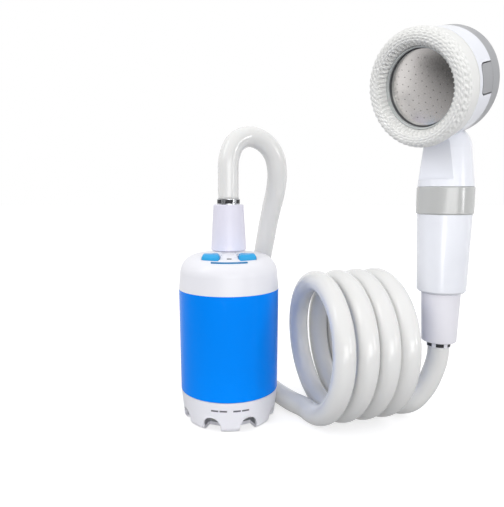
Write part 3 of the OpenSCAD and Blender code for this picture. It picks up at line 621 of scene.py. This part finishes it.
class SHOWER_OT_ferrules(bpy.types.Operator):
    """Put dark blocks into the windows of both ferrules, painted reflection of the dark bands of a shiny ring"""

    bl_idname = "shower.ferrules"
    bl_label = "Ferrule painted reflection"

    def execute(self, context):
        low, high = PAINTED_BAND_END, FERRULE_H - PAINTED_BAND_END
        back, front = FERRULE_R - PAINTED_BAND_BACK, FERRULE_R - PAINTED_BAND_FRONT
        corners = [(low, back), (low, front), (high, front), (high, back)]
        places = [("pump", HOSE_START - UP * FERRULE_H, PUMP_TURN), ("handset", HOSE_END, HANDSET_TURN)]
        for end, foot, turn in places:
            maker = bmesh.new()
            for middle in around(WINDOW_COUNT):
                angles = arc(middle + turn, WINDOW_HALF, WINDOW_STEPS)
                loft(maker, [[foot + upright(r, a, z) for z, r in corners] for a in angles])
            # dark blocks of painted reflection, for the dark bands that a shiny ring reflects
            name = end + "_ferrule_painted_reflection"
            piece(name, finish_mesh(name, maker, smooth=False), "pump", "dark_plastic")
        dress(FERRULES)
        return {"FINISHED"}


# grip ring

# depth of the side, inset and thickness of the skirt behind it, and taper of the outer wall
RING_SIDE = 15.7 * MM
RING_INSET = 3.6 * MM
RING_SKIRT = 2 * MM
RING_STEP = 1.3 * MM
WALL_STEPS = 6
# the bead runs from the bore over the front to a little past its widest, in degrees
BEAD_SWEEP = 190
# points round one nub and across one row of nubs
NUB_STEPS = 12
ROW_STEPS = 8
# nubs by which one row is shifted from the next
NUB_SLANT = 0.5
# half width and half length of a pit, as shares of a nub, and the share of its depth by which the net
# stands out of the bead
PIT_WIDE = 0.46
PIT_LONG = 0.5
PIT_MEAN = 0.25
# grooves between the teeth at the bore: depth in pits, and where they end and fade across the bead
TOOTH_GAIN = 2.0
TOOTH_SPAN = 0.32
TOOTH_FADE = 0.08
# fainter grooves that notch the outer edge: their middle and half width across the bead, and depth
RIM_AT = 0.75
RIM_SPAN = 0.2
RIM_GAIN = 0.85
# slope at which the knurl runs out into the smooth side
EDGE_FADE = 6


def off_middle(turn):
    """How far a place lies from the middle of its pit, in half widths."""
    return (turn - math.floor(turn) - 0.5) / PIT_WIDE


def nub_height(angle, across, s):
    """Height of the knurl: slanted rows of pits that leave a rope-like net, and grooves at both edges.

    across runs from 0 at the bore to 1 at the outer edge of the bead.
    """
    run = across * s.nub_rows
    tooth = s.nub_count * angle / (2 * math.pi)
    above = (run - math.floor(run) - 0.5) / PIT_LONG
    pit = max(0.0, 1 - math.hypot(off_middle(tooth + NUB_SLANT * run), above))
    fade = clamp((TOOTH_SPAN - across) / TOOTH_FADE)
    rim = max(0.0, 1 - abs(across - RIM_AT) / RIM_SPAN)
    groove = max(0.0, 1 - abs(off_middle(tooth))) * max(TOOTH_GAIN * fade, RIM_GAIN * rim)
    return s.pit_depth * (PIT_MEAN - max(pit, groove)) * min(1.0, EDGE_FADE * (1 - across))


def ring_profile(s):
    """Section of the ring, as rows of: along the axis, radius, outward along, outward radius, across.

    across is the place on the knurl, from 0 at the bore to 1, or None where the ring is smooth.
    """
    low, front, bore, outer = head_span("face_ring")
    bead = (outer - bore) / 2
    middle, centre = front - bead, outer - bead
    back = front - RING_SIDE
    rows = []
    for i in range(WALL_STEPS):
        rows.append((back + (middle - back) * i / WALL_STEPS, bore, 0, -1, None))
    steps = ROW_STEPS * s.nub_rows
    for i in range(steps + 1):
        a = math.radians(180 - BEAD_SWEEP * i / steps)
        out_z, out_r = math.sin(a), math.cos(a)
        rows.append((middle + bead * out_z, centre + bead * out_r, out_z, out_r, i / steps))
    for i in range(1, WALL_STEPS + 1):
        t = i / WALL_STEPS
        rows.append((middle + (back - middle) * t, outer - RING_STEP * t, 0, 1, None))
    inner = bore + RING_INSET
    skirt = [(back, inner + RING_SKIRT), (low, inner + RING_SKIRT), (low, inner), (back, inner)]
    return rows + [(z, r, 0, 0, None) for z, r in skirt]


class SHOWER_OT_grip_ring(bpy.types.Operator):
    """Make the turning ring of the head with its rope-like knurl"""

    bl_idname = "shower.grip_ring"
    bl_label = "Grip ring"

    def execute(self, context):
        s = sizes()
        profile = ring_profile(s)
        loops = []
        for angle in around(s.nub_count * NUB_STEPS):
            loop = []
            for along, radius, out_z, out_r, across in profile:
                lift = 0.0 if across is None else nub_height(angle, across, s)
                loop.append(in_head(along + out_z * lift, radius + out_r * lift, angle))
            loops.append(loop)
        maker = bmesh.new()
        loft(maker, loops, closed=True)
        mesh = finish_mesh("grip_ring", maker)
        ring = piece("grip_ring", mesh, "face_ring", "ivory_plastic")
        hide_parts("face_ring")
        return {"FINISHED"}


# dark lip round the spray plate: painted shade, a dark sheet lining the trim's recess where there is only shade

# thickness, clearance to the trim, and depth behind the trim's front
LIP_T = 0.35 * MM
LIP_GAP = 0.03 * MM
LIP_BACK = 2.0 * MM
LIP_STEPS = 180


class SHOWER_OT_face_lip(bpy.types.Operator):
    """Line the inside of the face trim with a dark lip that paints in the shade of its recess"""

    bl_idname = "shower.face_lip"
    bl_label = "Face lip"

    def execute(self, context):
        low, front, bore, _ = head_span("face_trim")
        outer, inner = bore - LIP_GAP, bore - LIP_T
        foot, top = low + LIP_GAP, front - LIP_BACK
        profile = [
            (foot, outer), (foot, inner), (top - LIP_T / 2, inner), (top, inner + LIP_T / 2),
            (top, outer),
        ]
        maker = bmesh.new()
        loft(maker, [[in_head(z, r, a) for z, r in profile] for a in around(LIP_STEPS)], closed=True)
        mesh = finish_mesh("face_lip", maker, smooth=False)
        # the lip's dark grey is painted shade, for the shade inside the trim's recess
        piece("face_lip", mesh, "handset", "lip")
        return {"FINISHED"}


# printed marks

# the base's outer wall is a cone that opens upward from its foot
BASE_FOOT_R = 33.9 * MM
BASE_FOOT_Z = 4.6 * MM
BASE_SLOPE = 2 / 18.1
# height of the marks' middle, and the radius that turns their lengths into angles
MARK_Z = 16.7 * MM
MARK_R = 35.2 * MM
MARK_GAP = 0.9 * MM
MARK_STEPS = 12
MARK_SINK = 0.05 * MM
MARK_RISE = 0.03 * MM
MARK_DEG = (-12.7, 12.7)
FRONT_DEG = -90 + 3.3


def base_radius(height):
    """Radius of the base's outer wall at a height."""
    return BASE_FOOT_R + (height - BASE_FOOT_Z) * BASE_SLOPE


class SHOWER_OT_marks(bpy.types.Operator):
    """Print two broken index bars on the front of the base"""

    bl_idname = "shower.marks"
    bl_label = "Base marks"

    def execute(self, context):
        s = sizes()
        half = s.mark_l / 2 / MARK_R
        aside = (s.mark_l + MARK_GAP) / 2 / MARK_R
        low, high = MARK_Z - s.mark_w / 2, MARK_Z + s.mark_w / 2
        corners = [(low, -MARK_SINK), (low, MARK_RISE), (high, MARK_RISE), (high, -MARK_SINK)]
        maker = bmesh.new()
        for degrees in MARK_DEG:
            for side in (-1, 1):
                angles = arc(math.radians(FRONT_DEG + degrees) + side * aside, half, MARK_STEPS)
                loft(
                    maker,
                    [[upright(base_radius(z) + lift, a, z) for z, lift in corners] for a in angles],
                )
        mesh = finish_mesh("base_marks", maker, smooth=False)
        piece("base_marks", mesh, "base", "print")
        return {"FINISHED"}


# finishes of the CAD pieces

SHELLS = ["body_shell", "top_cap", "button_trim", "indicator_lens", "power_button", "mode_button",
          "strainer_base", "strainer_screen", "charge_plug", "charge_socket", "pump_nut"]
HANDSET = ["handset_nut", "handle_shell", "handle_band", "head_housing", "rear_cover", "face_plate",
           "face_trim", "spray_distributor", "handset_washer", "handle_tube", "face_seal"]


class SHOWER_OT_pump(bpy.types.Operator):
    """Give the pump's shells, keys and base their finishes"""

    bl_idname = "shower.pump"
    bl_label = "Pump finishes"

    def execute(self, context):
        dress(SHELLS)
        return {"FINISHED"}


class SHOWER_OT_handset(bpy.types.Operator):
    """Give the handset's shells, cover and plate their finishes"""

    bl_idname = "shower.handset"
    bl_label = "Handset finishes"

    def execute(self, context):
        dress(HANDSET)
        return {"FINISHED"}


class SHOWER_OT_works(bpy.types.Operator):
    """Give the pieces inside the pump, and the solids that are replaced, their finishes"""

    bl_idname = "shower.works"
    bl_label = "Inner works"

    def execute(self, context):
        outside = set(SHELLS + HANDSET + FERRULES)
        dress([n for n in NODES if n not in outside])
        return {"FINISHED"}


# stage

CAMERA_AT = Vector((17, -363, 165.5)) * MM
CAMERA_PITCH = math.radians(6.85)
CAMERA_NEAR = 10 * MM
FOCAL_PX = 500
PHOTO_H = 507
SENSOR_MM = 36
# what the lamps look at, in metres
SET_MIDDLE = (0.06, 0, 0.12)
COIL_TOP = (0.1, 0, 0.12)
HANDLE_TOP = (0.16, 0, 0.145)
PUMP_FOOT = (0.012, 0, 0)
# a grid in front of a lamp narrows its spread, in degrees
NO_GRID = 180
# name, place, what it looks at, width, height, power in watts, spread
LAMPS = [
    ("key", (-0.45, -1.05, 0.9), SET_MIDDLE, 1.2, 1.0, 1.3, NO_GRID),
    ("fill", (0.3, -1.3, 0.24), SET_MIDDLE, 1.0, 0.4, 4.2, NO_GRID),
    ("strip left", (-0.8, -0.4, 0.8), COIL_TOP, 0.25, 0.6, 1.8, NO_GRID),
    ("strip right", (0.95, -0.6, 0.25), COIL_TOP, 0.1, 0.3, 1.1, NO_GRID),
    ("grid", (0.0, -0.5, 0.03), HANDLE_TOP, 0.2, 0.2, 0.022, 24),
    ("low grid", (0.03, -0.6, 0.02), PUMP_FOOT, 0.1, 0.06, 0.003, 10),
]
WHITE = (1, 1, 1, 1)
FLOOR_SIZE = 6
# the paper and its glow as the camera sees them, and the paper whose light falls back on the object
PAPER = "#C8C8CA"
PAPER_GLOW = 0.66
PAPER_UNDER = "#9A9A9C"
# light of the sky on dull surfaces
SKY_LEVEL = 0.9
# in mirror-like surfaces floor and sky fade from white behind the object to a dim room in front of it:
# where the fade starts and ends, and how dim the room is
FLOOR_FADE = {"From Min": -0.28, "From Max": 0.2, "To Min": 0.06, "To Max": 1.0}
SKY_FADE = {"From Min": -0.5, "From Max": 0.25, "To Min": 0.2, "To Max": 1.0}


def soft_box(name, at, to, wide, high, power, spread):
    """An area lamp that looks at a point."""
    lamp = bpy.data.lights.new(name, "AREA")
    lamp.shape = "RECTANGLE"
    lamp.size, lamp.size_y = wide, high
    lamp.energy = power
    lamp.spread = math.radians(spread)
    thing = bpy.data.objects.new(name, lamp)
    thing.location = at
    thing.rotation_euler = (Vector(to) - Vector(at)).to_track_quat("-Z", "Y").to_euler()
    bpy.context.scene.collection.objects.link(thing)


class SHOWER_OT_stage(bpy.types.Operator):
    """Set up the camera, the pale floor and the studio light"""

    bl_idname = "shower.stage"
    bl_label = "Stage"

    def execute(self, context):
        scene = context.scene
        scene.view_settings.view_transform = "Standard"
        self.camera(scene)
        self.floor(scene)
        self.world(scene)
        for lamp in LAMPS:
            soft_box(*lamp)
        return {"FINISHED"}

    def camera(self, scene):
        lens = bpy.data.cameras.new("camera")
        lens.sensor_width = SENSOR_MM
        lens.lens = FOCAL_PX / PHOTO_H * SENSOR_MM
        lens.clip_start = CAMERA_NEAR
        camera = bpy.data.objects.new("camera", lens)
        camera.location = CAMERA_AT
        camera.rotation_euler = (math.pi / 2 - CAMERA_PITCH, 0, 0)
        scene.collection.objects.link(camera)
        scene.camera = camera

    def floor(self, scene):
        maker = bmesh.new()
        bmesh.ops.create_grid(maker, x_segments=1, y_segments=1, size=FLOOR_SIZE)
        ground = bpy.data.objects.new("floor", finish_mesh("floor", maker, smooth=False))
        scene.collection.objects.link(ground)
        # paper sweep: an even white that keeps a soft shadow
        material, tree = fresh("Paper white sweep")
        ray = add(tree, "LightPath").outputs
        seen = add(
            tree, "Math", {0: ray["Is Camera Ray"], 1: ray["Is Transmission Ray"]}, operation="MAXIMUM"
        )
        spot = add(tree, "SeparateXYZ", {0: add(tree, "TexCoord").outputs["Object"]})
        room = add(tree, "MapRange", {"Value": spot.outputs["Y"], **FLOOR_FADE})
        mirrored = add(tree, "Emission", {"Color": WHITE, "Strength": room.outputs["Result"]})
        glow = add(tree, "Emission", {"Color": WHITE, "Strength": PAPER_GLOW})
        paper = add(tree, "BsdfDiffuse", {"Color": rgba(linear(PAPER))})
        # the light that the floor throws back up is that of a greyer paper
        under = add(tree, "BsdfDiffuse", {"Color": rgba(linear(PAPER_UNDER))})
        lit = add(tree, "AddShader", {0: glow.outputs[0], 1: paper.outputs[0]})
        both = add(tree, "MixShader", {0: seen.outputs[0], 1: under.outputs[0], 2: lit.outputs[0]})
        shown = add(
            tree, "MixShader", {0: ray["Is Glossy Ray"], 1: both.outputs[0], 2: mirrored.outputs[0]}
        )
        add(tree, "OutputMaterial", {"Surface": shown.outputs[0]})
        ground.data.materials.append(material)

    def world(self, scene):
        sky = bpy.data.worlds.new("studio")
        scene.world = sky
        sky.use_nodes = True
        tree = sky.node_tree
        tree.nodes.clear()
        ray = add(tree, "LightPath").outputs
        seen = add(tree, "Math", {0: ray["Is Camera Ray"], 1: ray["Is Glossy Ray"]}, operation="MAXIMUM")
        seen = add(
            tree, "Math", {0: seen.outputs[0], 1: ray["Is Transmission Ray"]}, operation="MAXIMUM"
        )
        way = add(tree, "SeparateXYZ", {0: add(tree, "TexCoord").outputs["Generated"]})
        room = add(tree, "MapRange", {"Value": way.outputs["Y"], **SKY_FADE})
        mirrored = add(tree, "Mix", {0: ray["Is Glossy Ray"], 2: 1.0, 3: room.outputs["Result"]})
        level = add(tree, "Mix", {0: seen.outputs[0], 2: SKY_LEVEL, 3: mirrored.outputs[0]})
        glow = add(tree, "Background", {"Color": WHITE, "Strength": level.outputs[0]})
        add(tree, "OutputWorld", {"Surface": glow.outputs[0]})


class SHOWER_PT_panel(bpy.types.Panel):
    """Sizes, colours and makers of the camp shower pump"""

    bl_idname = "SHOWER_PT_panel"
    bl_label = "Camp shower pump"
    bl_space_type = "VIEW_3D"
    bl_region_type = "UI"
    bl_category = "Shower"

    def draw(self, context):
        for group in (context.scene.shower_sizes, context.scene.shower_colours):
            box = self.layout.box()
            for name in group.__annotations__:
                box.prop(group, name)
        for maker in OPERATORS:
            self.layout.operator(maker.bl_idname)


# the camera and the hose come first
OPERATORS = [
    SHOWER_OT_stage, SHOWER_OT_hose, SHOWER_OT_ferrules, SHOWER_OT_grip_ring, SHOWER_OT_face_lip,
    SHOWER_OT_marks, SHOWER_OT_pump, SHOWER_OT_handset, SHOWER_OT_works,
]
CLASSES = [ShowerSizes, ShowerColours, *OPERATORS, SHOWER_PT_panel]


def register():
    for entry in CLASSES:
        bpy.utils.register_class(entry)
    bpy.types.Scene.shower_sizes = PointerProperty(type=ShowerSizes)
    bpy.types.Scene.shower_colours = PointerProperty(type=ShowerColours)


def unregister():
    del bpy.types.Scene.shower_colours
    del bpy.types.Scene.shower_sizes
    for entry in reversed(CLASSES):
        bpy.utils.unregister_class(entry)


def main():
    register()
    make_finishes()
    for maker in OPERATORS:
        group, name = maker.bl_idname.split(".")
        getattr(getattr(bpy.ops, group), name)()


if __name__ == "__main__":
    main()
